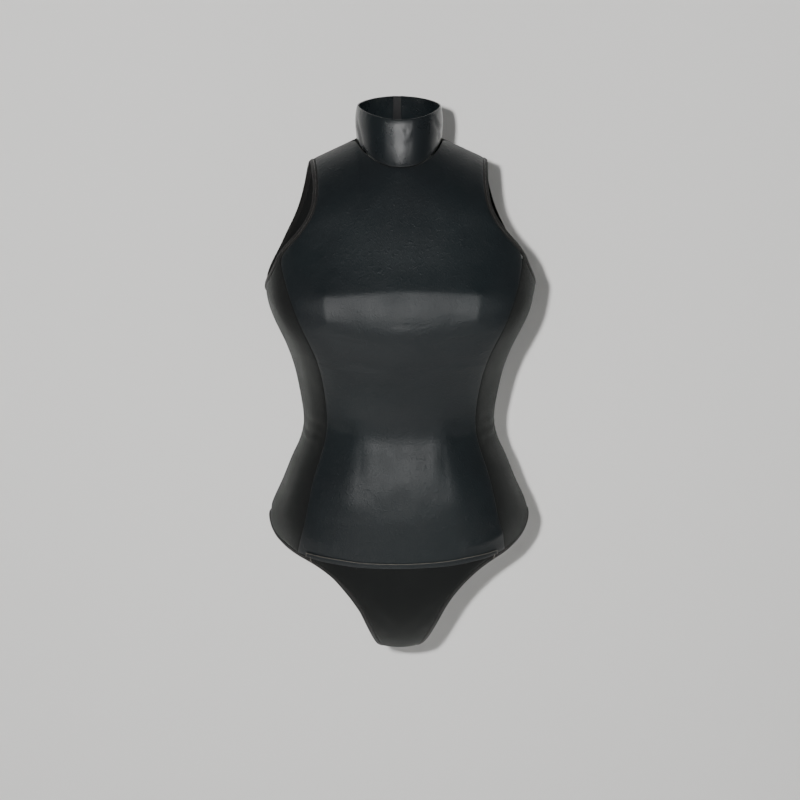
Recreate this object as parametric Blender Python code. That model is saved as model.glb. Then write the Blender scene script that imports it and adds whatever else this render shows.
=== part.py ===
"""A sleeveless high-neck bodysuit, hollow, in the shape that it has when it is worn.

One smooth skin, worked out from a few level rings, a sloping shoulder line and a
narrow crotch, carries the whole cut. Each cloth piece is a wall on that skin, drawn
between its own seam lines. The front faces -Y and the wearer's left is +X. The origin
is midway between the shoulders, where the wearer carries the garment.
"""
import math

import bmesh
import bpy
from mathutils import Matrix, Vector

# Cloth, seams and edges, in metres
CLOTH = 0.0015
SEAM_GAP = 0.00036
EDGE_WIDTH = 0.0062
EDGE_RISE = 0.0004
HEM_WIDTH = 0.0065
HEM_CLOTH = 0.0010
COLLAR_CLOTH = 0.0018

# The rings that the skin passes through, from the chest down to the hips
# Columns: height, half width, front and back depth, front and back squareness
RINGS = (
    (0.012, 0.1610, 0.0560, 0.0560, 2.30, 2.30),
    (-0.013, 0.1610, 0.0640, 0.0700, 2.30, 2.30),
    (-0.047, 0.1610, 0.0800, 0.0840, 2.30, 2.30),
    (-0.080, 0.1610, 0.0955, 0.0920, 2.45, 2.35),
    (-0.118, 0.1610, 0.1110, 0.0970, 3.00, 2.60),
    (-0.150, 0.1610, 0.1240, 0.0960, 3.80, 2.85),
    (-0.173, 0.1575, 0.1295, 0.0940, 4.10, 2.90),
    (-0.193, 0.1505, 0.1310, 0.0910, 3.80, 2.80),
    (-0.220, 0.1395, 0.1250, 0.0870, 3.10, 2.60),
    (-0.248, 0.1305, 0.1130, 0.0830, 2.60, 2.40),
    (-0.278, 0.1235, 0.0985, 0.0790, 2.35, 2.25),
    (-0.308, 0.1185, 0.0890, 0.0765, 2.20, 2.20),
    (-0.330, 0.1160, 0.0865, 0.0760, 2.20, 2.20),
    (-0.353, 0.1200, 0.0905, 0.0800, 2.30, 2.20),
    (-0.378, 0.1315, 0.0975, 0.0890, 2.40, 2.25),
    (-0.408, 0.1430, 0.1050, 0.1030, 2.45, 2.30),
    (-0.438, 0.1550, 0.1085, 0.1140, 2.45, 2.35),
    (-0.473, 0.1626, 0.1085, 0.1220, 2.40, 2.40),
    (-0.508, 0.1626, 0.1050, 0.1270, 2.40, 2.40),
    (-0.548, 0.1626, 0.0970, 0.1260, 2.40, 2.40),
    (-0.588, 0.1626, 0.0880, 0.1150, 2.40, 2.40),
    (-0.630, 0.1626, 0.0800, 0.0980, 2.40, 2.40),
)
RING_TOP = -0.080
RING_FOOT = -0.508

# The shoulder line, which the skin rolls over, and the crotch, which it rolls under
NECK_SIDE = 0.052
NECK_SIDE_HEIGHT = 0.012
SHOULDER_SLOPE = 0.47
SHOULDER_TIP = 0.105
FRONT_ROLL = 0.060
BACK_ROLL = 0.035
CROTCH_HEIGHT = -0.629
CROTCH_RISE = 6.0
CROTCH_HALF = 0.0225
CROTCH_ROLL = 0.120

# Cut lines on the front, as distance from the centre line and height
ARMHOLE_FRONT = ((0.1025, -0.046), (0.1090, -0.066), (0.1280, -0.091))
ARMHOLE_LOW = ((0.1540, -0.134),)
PANEL_TOP = (0.1450, -0.111)
UNDERARM = -0.163
PANEL_SEAM = (
    (0.1300, -0.155),
    (0.1180, -0.186),
    (0.1015, -0.227),
    (0.0920, -0.273),
    (0.0885, -0.318),
    (0.0950, -0.354),
    (0.1090, -0.398),
    (0.1175, -0.440),
)
HIP_SIDE = -0.4615
LEG_HIP = ((0.1560, -0.4690), (0.1420, -0.4785))
PANEL_CORNER = (0.1250, -0.4845)
LEG_FRONT = (
    (0.1060, -0.489),
    (0.0830, -0.504),
    (0.0590, -0.534),
    (0.0440, -0.572),
    (0.0305, -0.610),
)
HEM = ((0.0, -0.4870), (0.0550, -0.4855), (0.0850, -0.4825))

# Cut lines on the back
ARMHOLE_BACK = ((0.1100, -0.040), (0.1180, -0.076), (0.1330, -0.108), (0.1510, -0.141))
LEG_BACK = ((0.1440, -0.492), (0.1180, -0.524), (0.0860, -0.560), (0.0520, -0.598))

# The stand collar
NECK_FRONT = 0.0625
NECK_BACK = 0.052
COLLAR_SIDE_TOP = 0.052
COLLAR_FRONT_TOP = 0.043
COLLAR_BACK_TOP = 0.056
COLLAR_TOP_HALF = 0.0500
COLLAR_TOP_FRONT = 0.0585
COLLAR_TOP_BACK = 0.0500
COLLAR_BELLY = 0.0022

# The zip down the centre back
ZIP_HALF = 0.0045
ZIP_FOOT = -0.345
ZIP_NARROWING = 0.008
BACK_ROWS_DROP = 0.025
ZIP_RISE = 0.0004

# The slider and its pull tab, which hangs from a bar across the slider
SLIDER_HALF = 0.0042
SLIDER_HEIGHT = 0.0105
SLIDER_DROP = 0.0030
SLIDER_PLATE = 0.0024
LUG_THICK = 0.0012
LUG_HEIGHT = 0.0040
BAR_RADIUS = 0.0008
BAR_OUT = 0.0026
EYE_BORE = 0.0012
EYE_RADIUS = 0.0021
PULL_HALF = 0.0021
PULL_LENGTH = 0.0240
PULL_THICK = 0.0014

# Samples along each seam
SHOULDER_STEPS = 4
NECK_FRONT_STEPS = 10
NECK_BACK_STEPS = 5
ARM_FRONT_STEPS = 8
ARM_SIDE_STEPS = 5
ARM_BACK_STEPS = 10
SIDE_STEPS = 20
LEG_SIDE_STEPS = 5
LEG_FRONT_STEPS = 10
LEG_BACK_STEPS = 12
COLLAR_STEPS = 4
CURVE_FINENESS = 24
HALVINGS = 30

# Finishes: colour, roughness, metallic
GLOSSY_CLOTH = ((0.014, 0.015, 0.016), 0.30, 0.0)
MATTE_CLOTH = ((0.022, 0.024, 0.025), 0.72, 0.0)
EDGE_ELASTIC = ((0.030, 0.028, 0.026), 0.60, 0.0)
ZIP_COIL = ((0.010, 0.010, 0.011), 0.45, 0.0)
BLACK_METAL = ((0.020, 0.020, 0.022), 0.35, 1.0)


def ring_value(height, column):
    """One column of the ring table at a height, on a smooth curve without overshoot."""
    height = min(max(height, RINGS[-1][0]), RINGS[0][0])
    place = next(i for i in range(len(RINGS) - 1) if RINGS[i + 1][0] <= height)
    span = RINGS[place][0] - RINGS[place + 1][0]
    part = (RINGS[place][0] - height) / span

    def slope(row):
        if row == 0 or row == len(RINGS) - 1:
            return 0.0
        above = (RINGS[row][column] - RINGS[row - 1][column]) / (RINGS[row - 1][0] - RINGS[row][0])
        below = (RINGS[row + 1][column] - RINGS[row][column]) / (RINGS[row][0] - RINGS[row + 1][0])
        if above * below <= 0:
            return 0.0
        return 2 * above * below / (above + below)

    start = RINGS[place][column]
    end = RINGS[place + 1][column]
    return (
        start * (1 + 2 * part) * (1 - part) ** 2
        + end * part**2 * (3 - 2 * part)
        + slope(place) * span * part * (1 - part) ** 2
        - slope(place + 1) * span * part**2 * (1 - part)
    )


def shoulder_height(x):
    return NECK_SIDE_HEIGHT - SHOULDER_SLOPE * (abs(x) - NECK_SIDE)


def crotch_height(x):
    return CROTCH_HEIGHT + CROTCH_RISE * x**2


def roll(back):
    return BACK_ROLL if back else FRONT_ROLL


def is_back(turn):
    return math.cos(turn) < 0


def ring_place(turn, level):
    """Across and outward shares of a point on its ring, and its distance from the centre line."""
    height = min(max(level, RING_FOOT), RING_TOP)
    square = ring_value(height, 5 if is_back(turn) else 4)
    sine = math.sin(turn)
    cosine = math.cos(turn)
    reach = (abs(sine) ** square + abs(cosine) ** square) ** (-1 / square)
    return ring_value(height, 1) * sine * reach, abs(cosine) * reach


def skin(turn, level):
    """A point on the skin: turn goes round from the front centre, level is unrolled height."""
    x, outward = ring_place(turn, level)
    back = is_back(turn)
    top = shoulder_height(x) - roll(back)
    foot = crotch_height(x) + CROTCH_ROLL
    height = level
    fullness = 1.0
    if level > top:
        lean = (level - top) / roll(back)
        height = top + roll(back) * math.sin(lean)
        fullness = math.cos(lean)
    if level < foot:
        lean = (foot - level) / CROTCH_ROLL
        height = foot - CROTCH_ROLL * math.sin(lean)
        fullness = math.cos(lean)
    depth = ring_value(height, 3 if back else 2) * outward * fullness
    return Vector((x, depth if back else -depth, height))


def skin_slopes(place):
    turn, level = place
    step = 1e-4
    across = (skin(turn + step, level) - skin(turn - step, level)) / (2 * step)
    along = (skin(turn, level + step) - skin(turn, level - step)) / (2 * step)
    return across, along


def skin_normal(place):
    across, along = skin_slopes(place)
    return across.cross(along).normalized()


def lifted(place, distance):
    return skin(*place) + skin_normal(place) * distance


def turn_at(x, level, back=False):
    """How far round the ring at this level a point lies that is x from the centre line."""
    height = min(max(level, RING_FOOT), RING_TOP)
    square = ring_value(height, 5 if back else 4)
    share = min(x / ring_value(height, 1), 1.0)
    turn = math.atan2(share, (1 - share**square) ** (1 / square))
    return math.pi - turn if back else turn


def mark(x, height, back=False):
    """The place on the skin of a cut line's point."""
    top = shoulder_height(x) - roll(back)
    foot = crotch_height(x) + CROTCH_ROLL
    level = height
    if height > top:
        level = top + roll(back) * math.asin((height - top) / roll(back))
    elif height < foot:
        level = foot - CROTCH_ROLL * math.asin((foot - height) / CROTCH_ROLL)
    return turn_at(x, level, back), level


def shoulder_mark(x, back=False):
    return turn_at(x, RING_TOP, back), shoulder_height(x) + roll(back) * (math.pi / 2 - 1)


def crotch_mark(x, back=False):
    return turn_at(x, RING_FOOT, back), crotch_height(x) - CROTCH_ROLL * (math.pi / 2 - 1)


def neck_mark(swing, back=False):
    """The neck seam seen from above is an oval: swing goes round it from the front centre."""
    x = NECK_SIDE * math.sin(swing)
    y = (NECK_BACK if back else NECK_FRONT) * abs(math.cos(swing))
    turn, ridge = shoulder_mark(x, back)
    low = RING_TOP
    for _ in range(HALVINGS):
        level = (low + ridge) / 2
        if abs(skin(turn, level).y) > y:
            low = level
        else:
            ridge = level
    return turn, level


def trace(marks, sections):
    """A smooth line through the marks. Each section gives its last mark and its number of steps."""
    knots = [0.0]
    for before, after in zip(marks, marks[1:]):
        knots.append(knots[-1] + (skin(*after) - skin(*before)).length)
    points = [Vector(m) for m in marks]
    slopes = []
    for i in range(len(points)):
        low = max(i - 1, 0)
        high = min(i + 1, len(points) - 1)
        slopes.append((points[high] - points[low]) / (knots[high] - knots[low]))
    fine = []
    for i in range(len(points) - 1):
        span = knots[i + 1] - knots[i]
        for k in range(CURVE_FINENESS):
            part = k / CURVE_FINENESS
            fine.append(
                points[i] * (1 + 2 * part) * (1 - part) ** 2
                + points[i + 1] * part**2 * (3 - 2 * part)
                + slopes[i] * span * part * (1 - part) ** 2
                - slopes[i + 1] * span * part**2 * (1 - part)
            )
    fine.append(points[-1])
    run = [0.0]
    for before, after in zip(fine, fine[1:]):
        run.append(run[-1] + (skin(*after) - skin(*before)).length)
    line = [tuple(fine[0])]
    first = 0
    for last_mark, steps in sections:
        last = last_mark * CURVE_FINENESS
        for k in range(1, steps + 1):
            wanted = run[first] + (run[last] - run[first]) * k / steps
            i = first
            while i < last - 1 and run[i + 1] < wanted:
                i += 1
            part = (wanted - run[i]) / (run[i + 1] - run[i])
            line.append(tuple(fine[i].lerp(fine[i + 1], part)))
        first = last
    return line


def moved(place, shift):
    """A place on the skin, moved along the skin by a shift in metres."""
    across, along = skin_slopes(place)
    aa = across.dot(across)
    ab = across.dot(along)
    bb = along.dot(along)
    a = shift.dot(across)
    b = shift.dot(along)
    scale = aa * bb - ab * ab
    return place[0] + (a * bb - b * ab) / scale, place[1] + (b * aa - a * ab) / scale


def inset(line, distance, fold_mark):
    """A closed line moved in over the cloth, which lies to its right as it runs, seen from outside.

    The line starts and ends at one point of a fold of the skin, once on each side of the fold.
    """
    result = []
    count = len(line) - 1
    for i in range(count):
        ahead = skin(*line[i + 1])
        behind = skin(*line[(i - 1) % count])
        sideways = (ahead - behind).normalized().cross(skin_normal(line[i]))
        result.append(moved(line[i], sideways * distance))
    x = skin(*result[0]).x
    result[0] = fold_mark(x, back=is_back(line[0][0]))
    result.append(fold_mark(x, back=is_back(line[-1][0])))
    return result


def patch(top, foot, left, right):
    """Rows of places that fill the field between four lines, which meet at its corners."""
    rows = []
    for i in range(len(left)):
        down = i / (len(left) - 1)
        row = []
        for j in range(len(top)):
            over = j / (len(top) - 1)
            place = []
            for k in range(2):
                sides = left[i][k] * (1 - over) + right[i][k] * over
                ends = top[j][k] * (1 - down) + foot[j][k] * down
                corners = (top[0][k] * (1 - over) + top[-1][k] * over) * (1 - down)
                corners += (foot[0][k] * (1 - over) + foot[-1][k] * over) * down
                place.append(sides + ends - corners)
            row.append(tuple(place))
        rows.append(row)
    return rows


def drawn_in(rows):
    """The field with its rim moved in by half a seam gap."""
    points = [[skin(*place) for place in row] for row in rows]
    last_row = len(rows) - 1
    last_column = len(rows[0]) - 1

    def sideways(ahead, behind, inner, i, j):
        across = (ahead - behind).cross(skin_normal(rows[i][j])).normalized()
        if across.dot(inner - points[i][j]) < 0:
            across.negate()
        return across * SEAM_GAP / 2

    shifts = {}
    for i in range(last_row + 1):
        for j, k in ((0, 1), (last_column, last_column - 1)):
            ahead = points[min(i + 1, last_row)][j]
            behind = points[max(i - 1, 0)][j]
            shifts[i, j] = sideways(ahead, behind, points[i][k], i, j)
    for j in range(last_column + 1):
        for i, k in ((0, 1), (last_row, last_row - 1)):
            ahead = points[i][min(j + 1, last_column)]
            behind = points[i][max(j - 1, 0)]
            shift = sideways(ahead, behind, points[k][j], i, j)
            shifts[i, j] = shifts.get((i, j), Vector()) + shift
    rows = [list(row) for row in rows]
    for (i, j), shift in shifts.items():
        rows[i][j] = moved(rows[i][j], shift)
    return rows


def finish(name, colour, roughness, metallic):
    material = bpy.data.materials.new(name)
    material.use_nodes = True
    shader = material.node_tree.nodes["Principled BSDF"]
    shader.inputs["Base Color"].default_value = (*colour, 1.0)
    shader.inputs["Roughness"].default_value = roughness
    shader.inputs["Metallic"].default_value = metallic
    return material


def add_object(name, mesh_data, look, smooth=True):
    mesh = bpy.data.meshes.new(name)
    mesh_data.to_mesh(mesh)
    mesh_data.free()
    mesh.materials.append(finish(name, *look))
    if smooth:
        mesh.shade_smooth()
        mesh.set_sharp_from_angle(angle=math.radians(40))
    thing = bpy.data.objects.new(name, mesh)
    bpy.context.scene.collection.objects.link(thing)
    return thing


def wall(name, outer, inner, look, loop=False):
    """A closed cloth wall between two grids of points; a loop joins its last column to its first."""
    data = bmesh.new()
    sheets = [[[data.verts.new(p) for p in row] for row in grid] for grid in (outer, inner)]
    rows = len(outer)
    columns = len(outer[0])
    spans = columns if loop else columns - 1
    for sheet in sheets:
        for i in range(rows - 1):
            for j in range(spans):
                k = (j + 1) % columns
                data.faces.new((sheet[i][j], sheet[i][k], sheet[i + 1][k], sheet[i + 1][j]))
    for i in (0, rows - 1):
        for j in range(spans):
            k = (j + 1) % columns
            data.faces.new((sheets[0][i][j], sheets[0][i][k], sheets[1][i][k], sheets[1][i][j]))
    if not loop:
        for j in (0, columns - 1):
            for i in range(rows - 1):
                data.faces.new(
                    (sheets[0][i][j], sheets[0][i + 1][j], sheets[1][i + 1][j], sheets[1][i][j])
                )
    bmesh.ops.recalc_face_normals(data, faces=data.faces)
    return add_object(name, data, look)


def panel(name, rows, look, mirrored=False):
    """A cloth piece on the skin, or its mirror image."""
    rows = drawn_in(rows)
    outer = [[lifted(p, 0.0) for p in row] for row in rows]
    inner = [[lifted(p, -CLOTH) for p in row] for row in rows]
    if mirrored:
        outer = flipped(outer)
        inner = flipped(inner)
    return wall(name, outer, inner, look)


def flipped(grid):
    return [[Vector((-p.x, p.y, p.z)) for p in row] for row in grid]


def other_side(line):
    return [(-turn, level) for turn, level in line]


def between(first, second, part):
    """The line that lies this part of the way from one line to another."""
    return [tuple(a + (b - a) * part for a, b in zip(*pair)) for pair in zip(first, second)]


def edge_band(name, line, sewn_line, look, mirrored=False):
    """A narrow turned edge: a closed band between the cloth's cut line and its own fold."""
    seam = between(sewn_line, line, SEAM_GAP / EDGE_WIDTH)
    middle = between(seam, line, 0.5)
    ridges = ((seam, EDGE_RISE / 2), (middle, EDGE_RISE), (line, 0.0))
    outer = [[lifted(p, rise) for p in row] for row, rise in ridges]
    inner = [[lifted(p, -CLOTH - rise) for p in row] for row, rise in ridges]
    if mirrored:
        outer = flipped(outer)
        inner = flipped(inner)
    return wall(name, outer, inner, look, loop=True)


def zip_edge(height):
    """How far the back panels keep from the centre line to leave room for the zip."""
    if height > ZIP_FOOT:
        return ZIP_HALF + SEAM_GAP
    share = max(0.0, 1 - (ZIP_FOOT - height) / ZIP_NARROWING)
    return (ZIP_HALF + SEAM_GAP) * share


for old in list(bpy.data.objects):
    bpy.data.objects.remove(old, do_unlink=True)

# Cut lines of one half. Each armhole and leg opening is one closed line
arm_marks = [shoulder_mark(SHOULDER_TIP)]
arm_marks += [mark(*m) for m in ARMHOLE_FRONT + (PANEL_TOP,) + ARMHOLE_LOW]
arm_marks += [(math.pi / 2, UNDERARM)]
arm_marks += [mark(*m, back=True) for m in reversed(ARMHOLE_BACK)]
arm_marks += [shoulder_mark(SHOULDER_TIP, back=True)]
panel_top_mark = 1 + len(ARMHOLE_FRONT)
underarm_mark = panel_top_mark + len(ARMHOLE_LOW) + 1
arm_edge = trace(
    arm_marks,
    (
        (panel_top_mark, ARM_FRONT_STEPS),
        (underarm_mark, ARM_SIDE_STEPS),
        (len(arm_marks) - 1, ARM_BACK_STEPS),
    ),
)
arm_sewn = inset(arm_edge, EDGE_WIDTH, shoulder_mark)

leg_marks = [crotch_mark(CROTCH_HALF, back=True)]
leg_marks += [mark(*m, back=True) for m in reversed(LEG_BACK)]
leg_marks += [(math.pi / 2, HIP_SIDE)]
leg_marks += [mark(*m) for m in LEG_HIP + (PANEL_CORNER,)]
leg_marks += [mark(*m) for m in LEG_FRONT]
leg_marks += [crotch_mark(CROTCH_HALF)]
hip_mark = len(LEG_BACK) + 1
leg_edge = trace(
    leg_marks,
    (
        (hip_mark, LEG_BACK_STEPS),
        (hip_mark + len(LEG_HIP) + 1, LEG_SIDE_STEPS),
        (len(leg_marks) - 1, LEG_FRONT_STEPS),
    ),
)
leg_sewn = inset(leg_edge, EDGE_WIDTH, crotch_mark)

panel_top = arm_sewn[ARM_FRONT_STEPS]
underarm = arm_sewn[ARM_FRONT_STEPS + ARM_SIDE_STEPS]
hip_side = leg_sewn[LEG_BACK_STEPS]
panel_corner = leg_sewn[LEG_BACK_STEPS + LEG_SIDE_STEPS]
seam_marks = [panel_top] + [mark(*m) for m in PANEL_SEAM] + [panel_corner]
panel_seam = trace(seam_marks, ((len(seam_marks) - 1, SIDE_STEPS),))
side_seam = trace([underarm, hip_side], ((1, SIDE_STEPS),))
hem_marks = [mark(*m) for m in HEM] + [panel_corner]
hem = trace(hem_marks, ((len(HEM), SHOULDER_STEPS + NECK_FRONT_STEPS // 2),))

sewn_tip = abs(skin(*arm_sewn[0]).x)
shoulder_xs = [
    NECK_SIDE + (sewn_tip - NECK_SIDE) * k / SHOULDER_STEPS for k in range(SHOULDER_STEPS + 1)
]
neck_end = math.pi - math.asin((ZIP_HALF + SEAM_GAP) / NECK_SIDE)
front_swings = [math.pi / 2 * k / (NECK_FRONT_STEPS // 2) for k in range(NECK_FRONT_STEPS // 2 + 1)]
back_swings = [
    neck_end + (math.pi / 2 - neck_end) * k / NECK_BACK_STEPS for k in range(NECK_BACK_STEPS + 1)
]
top_front = [neck_mark(s) for s in front_swings] + [shoulder_mark(x) for x in shoulder_xs[1:]]
top_back = [neck_mark(s, back=True) for s in back_swings]
top_back += [shoulder_mark(x, back=True) for x in shoulder_xs[1:]]
sewn_crotch = abs(skin(*leg_sewn[0]).x)
across_steps = len(hem) - 1
crotch_xs = [sewn_crotch * k / across_steps for k in range(across_steps + 1)]
crotch_front = [crotch_mark(x) for x in crotch_xs]
crotch_back = [crotch_mark(x, back=True) for x in crotch_xs]


def whole_width(half):
    """A line from the centre outwards, made to run from one side to the other."""
    return other_side(half[:0:-1]) + half


# Front panel, from the collar and shoulders to its hem at the hips
panel_side = arm_sewn[: ARM_FRONT_STEPS + 1] + panel_seam[1:]
front_rows = patch(whole_width(top_front), whole_width(hem), other_side(panel_side), panel_side)
panel("front_panel", front_rows, GLOSSY_CLOTH)

# Brief front, from the panel's hem to the crotch seam
brief_side = leg_sewn[LEG_BACK_STEPS + LEG_SIDE_STEPS :]
brief_rows = patch(whole_width(hem), whole_width(crotch_front), other_side(brief_side), brief_side)
panel("brief_front", brief_rows, MATTE_CLOTH)

# Side fronts, from the armholes to the leg openings
side_top = arm_sewn[ARM_FRONT_STEPS : ARM_FRONT_STEPS + ARM_SIDE_STEPS + 1]
side_foot = leg_sewn[LEG_BACK_STEPS : LEG_BACK_STEPS + LEG_SIDE_STEPS + 1][::-1]
side_rows = patch(side_top, side_foot, panel_seam, side_seam)
panel("side_front_left", side_rows, MATTE_CLOTH)
panel("side_front_right", side_rows, MATTE_CLOTH, mirrored=True)

# Backs, from the shoulders to the crotch seam, apart at the zip
centre_levels = [top_back[0][1]]
zip_rows = SIDE_STEPS * 3 // 5
centre_stops = (
    (UNDERARM - BACK_ROWS_DROP, ARM_BACK_STEPS),
    (ZIP_FOOT, zip_rows),
    (ZIP_FOOT - ZIP_NARROWING, 1),
    (HIP_SIDE, SIDE_STEPS - zip_rows - 1),
    (crotch_back[0][1], LEG_BACK_STEPS),
)
for stop, steps in centre_stops:
    begin = centre_levels[-1]
    centre_levels += [begin + (stop - begin) * (k + 1) / steps for k in range(steps)]
centre_back = [(turn_at(zip_edge(level), level, back=True), level) for level in centre_levels]
back_side = arm_sewn[: ARM_FRONT_STEPS + ARM_SIDE_STEPS - 1 : -1] + side_seam[1:]
back_side += leg_sewn[: LEG_BACK_STEPS][::-1]
back_rows = patch(top_back, crotch_back, centre_back, back_side)
panel("back_left", back_rows, MATTE_CLOTH)
panel("back_right", back_rows, MATTE_CLOTH, mirrored=True)

# Turned elastic edges round the armholes and the leg openings
for side, mirrored in (("left", False), ("right", True)):
    edge_band("armhole_edge_" + side, arm_edge[:-1], arm_sewn[:-1], EDGE_ELASTIC, mirrored)
    edge_band("leg_edge_" + side, leg_edge[:-1], leg_sewn[:-1], EDGE_ELASTIC, mirrored)

# Hem of the front panel, a narrow turned band that lies on the panel's lower end
row_height = (skin(*front_rows[-1][across_steps]) - skin(*front_rows[-2][across_steps])).length
hem_line = drawn_in(front_rows)[-1][1:-1]
hem_top = between(hem_line, front_rows[-2][1:-1], HEM_WIDTH / row_height)
hem_lines = (hem_top, hem_line)
hem_outer = [[lifted(p, SEAM_GAP + HEM_CLOTH) for p in row] for row in hem_lines]
hem_inner = [[lifted(p, SEAM_GAP) for p in row] for row in hem_lines]
wall("panel_hem", hem_outer, hem_inner, GLOSSY_CLOTH)

# Stand collar, open at the centre back for the zip
collar_swings = front_swings + back_swings[-2::-1]
collar_half = []
for swing in collar_swings:
    seam = skin(*neck_mark(swing, back=math.cos(swing) < 0)) + Vector((0, 0, SEAM_GAP))
    behind = max(0.0, -math.cos(swing))
    before = max(0.0, math.cos(swing))
    top = Vector(
        (
            COLLAR_TOP_HALF * math.sin(swing),
            -COLLAR_TOP_FRONT * math.cos(swing) if before else -COLLAR_TOP_BACK * math.cos(swing),
            COLLAR_SIDE_TOP
            + (COLLAR_FRONT_TOP - COLLAR_SIDE_TOP) * before**2
            + (COLLAR_BACK_TOP - COLLAR_SIDE_TOP) * behind**2,
        )
    )
    outward = Vector((math.sin(swing), -math.cos(swing), 0))
    column = []
    for k in range(COLLAR_STEPS + 1):
        part = k / COLLAR_STEPS
        point = seam.lerp(top, part) + outward * COLLAR_BELLY * math.sin(math.pi * part)
        column.append((point, outward))
    collar_half.append(column)
backwards = Vector((0, 1, 0))
collar_ends = [(Vector((ZIP_HALF + SEAM_GAP, p.y, p.z)), backwards) for p, _ in collar_half[-1]]
collar_half[-1] = collar_ends
collar_sheets = []
for depth in (0.0, COLLAR_CLOTH):
    half_rows = [[p - out * depth for p, out in row] for row in zip(*collar_half)][::-1]
    collar_sheets.append([left[:0:-1] + right for left, right in zip(flipped(half_rows), half_rows)])
wall("collar", *collar_sheets, GLOSSY_CLOTH)

# Zip, from the collar's top edge down the centre back
zip_outer = []
zip_inner = []
zip_xs = (-ZIP_HALF, 0, ZIP_HALF)
for point, _ in reversed(collar_ends[1:]):
    zip_outer.append([Vector((x, point.y + ZIP_RISE, point.z)) for x in zip_xs])
    zip_inner.append([Vector((x, point.y - COLLAR_CLOTH, point.z)) for x in zip_xs])
for level in centre_levels[: ARM_BACK_STEPS + zip_rows + 1]:
    turn = turn_at(ZIP_HALF, level, back=True)
    places = ((-turn, level), (math.pi, level), (turn, level))
    zip_outer.append([lifted(p, ZIP_RISE) for p in places])
    zip_inner.append([lifted(p, -CLOTH) for p in places])
wall("zip", zip_outer, zip_inner, ZIP_COIL)

# Slider: a plate on the zip, with two lugs that carry a bar
zip_face = max(p.y for p in zip_outer[0] + zip_outer[1])
slider_top = COLLAR_BACK_TOP - SLIDER_DROP
plate_middle = Vector((0, zip_face + SEAM_GAP + SLIDER_PLATE / 2, slider_top - SLIDER_HEIGHT / 2))
bar = Vector((0, zip_face + SEAM_GAP + SLIDER_PLATE + BAR_OUT, slider_top - SLIDER_HEIGHT / 3))
lug_middle = PULL_HALF + 2 * SEAM_GAP + LUG_THICK / 2


def box(name, middle, size):
    data = bmesh.new()
    bmesh.ops.create_cube(data, size=1.0)
    bmesh.ops.scale(data, vec=size, verts=data.verts)
    bmesh.ops.translate(data, vec=middle, verts=data.verts)
    return add_object(name, data, BLACK_METAL, smooth=False)


def join_on(thing, tool):
    tool.hide_render = True
    tool.display_type = "WIRE"
    union = thing.modifiers.new("Join " + tool.name, "BOOLEAN")
    union.operation = "UNION"
    union.solver = "EXACT"
    union.object = tool


slider = box("zip_slider", plate_middle, Vector((SLIDER_HALF * 2, SLIDER_PLATE, SLIDER_HEIGHT)))
for side in (-1, 1):
    lug_reach = BAR_OUT + BAR_RADIUS * 2 + SLIDER_PLATE / 2
    lug_place = Vector((side * lug_middle, plate_middle.y + lug_reach / 2, bar.z))
    lug_size = Vector((LUG_THICK, lug_reach, LUG_HEIGHT))
    join_on(slider, box(f"slider_lug_{side}", lug_place, lug_size))
bar_data = bmesh.new()
bmesh.ops.create_cone(
    bar_data,
    cap_ends=True,
    segments=12,
    radius1=BAR_RADIUS,
    radius2=BAR_RADIUS,
    depth=lug_middle * 2 + LUG_THICK / 2,
)
bmesh.ops.rotate(bar_data, matrix=Matrix.Rotation(math.pi / 2, 3, "Y"), verts=bar_data.verts)
bmesh.ops.translate(bar_data, vec=bar, verts=bar_data.verts)
join_on(slider, add_object("slider_bar", bar_data, BLACK_METAL))

# Pull tab: a plate that hangs from an eye round the slider's bar
pull_data = bmesh.new()
sides = 10
profile = []
for k in range(sides):
    angle = -math.pi / 2 + (k - 0.5) * 2 * math.pi / sides
    ray = Vector((0, math.cos(angle), math.sin(angle)))
    profile.append((ray * EYE_BORE, ray * EYE_RADIUS))
tip = [Vector((0, side * PULL_THICK / 2, -PULL_LENGTH)) for side in (-1, 1)]
halves = []
for x in (-PULL_HALF, PULL_HALF):
    shift = Vector((x, 0, 0))
    rings = [(pull_data.verts.new(i + shift), pull_data.verts.new(o + shift)) for i, o in profile]
    ends = [pull_data.verts.new(p + shift) for p in tip]
    halves.append((rings, ends))
    for k in range(sides):
        after = rings[(k + 1) % sides]
        pull_data.faces.new((rings[k][0], rings[k][1], after[1], after[0]))
    pull_data.faces.new((rings[0][1], ends[0], ends[1], rings[1][1]))
near, far = halves
for k in range(sides):
    nxt = (k + 1) % sides
    pull_data.faces.new((near[0][k][0], near[0][nxt][0], far[0][nxt][0], far[0][k][0]))
    if k > 0:
        pull_data.faces.new((near[0][k][1], near[0][nxt][1], far[0][nxt][1], far[0][k][1]))
pull_data.faces.new((near[0][0][1], near[1][0], far[1][0], far[0][0][1]))
pull_data.faces.new((near[0][1][1], near[1][1], far[1][1], far[0][1][1]))
pull_data.faces.new((near[1][0], near[1][1], far[1][1], far[1][0]))
bmesh.ops.recalc_face_normals(pull_data, faces=pull_data.faces)
pull = add_object("zip_pull", pull_data, BLACK_METAL, smooth=False)
pull.location = bar
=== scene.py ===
"""The finish of a sleeveless high-neck bodysuit: wet-look front, matte sides, turned edges and a back zip.

The garment is shown as it is worn, hollow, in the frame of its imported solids.
"""

import math

import bmesh
import bpy
import numpy as np
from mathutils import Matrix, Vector
from mathutils.kdtree import KDTree


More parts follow.
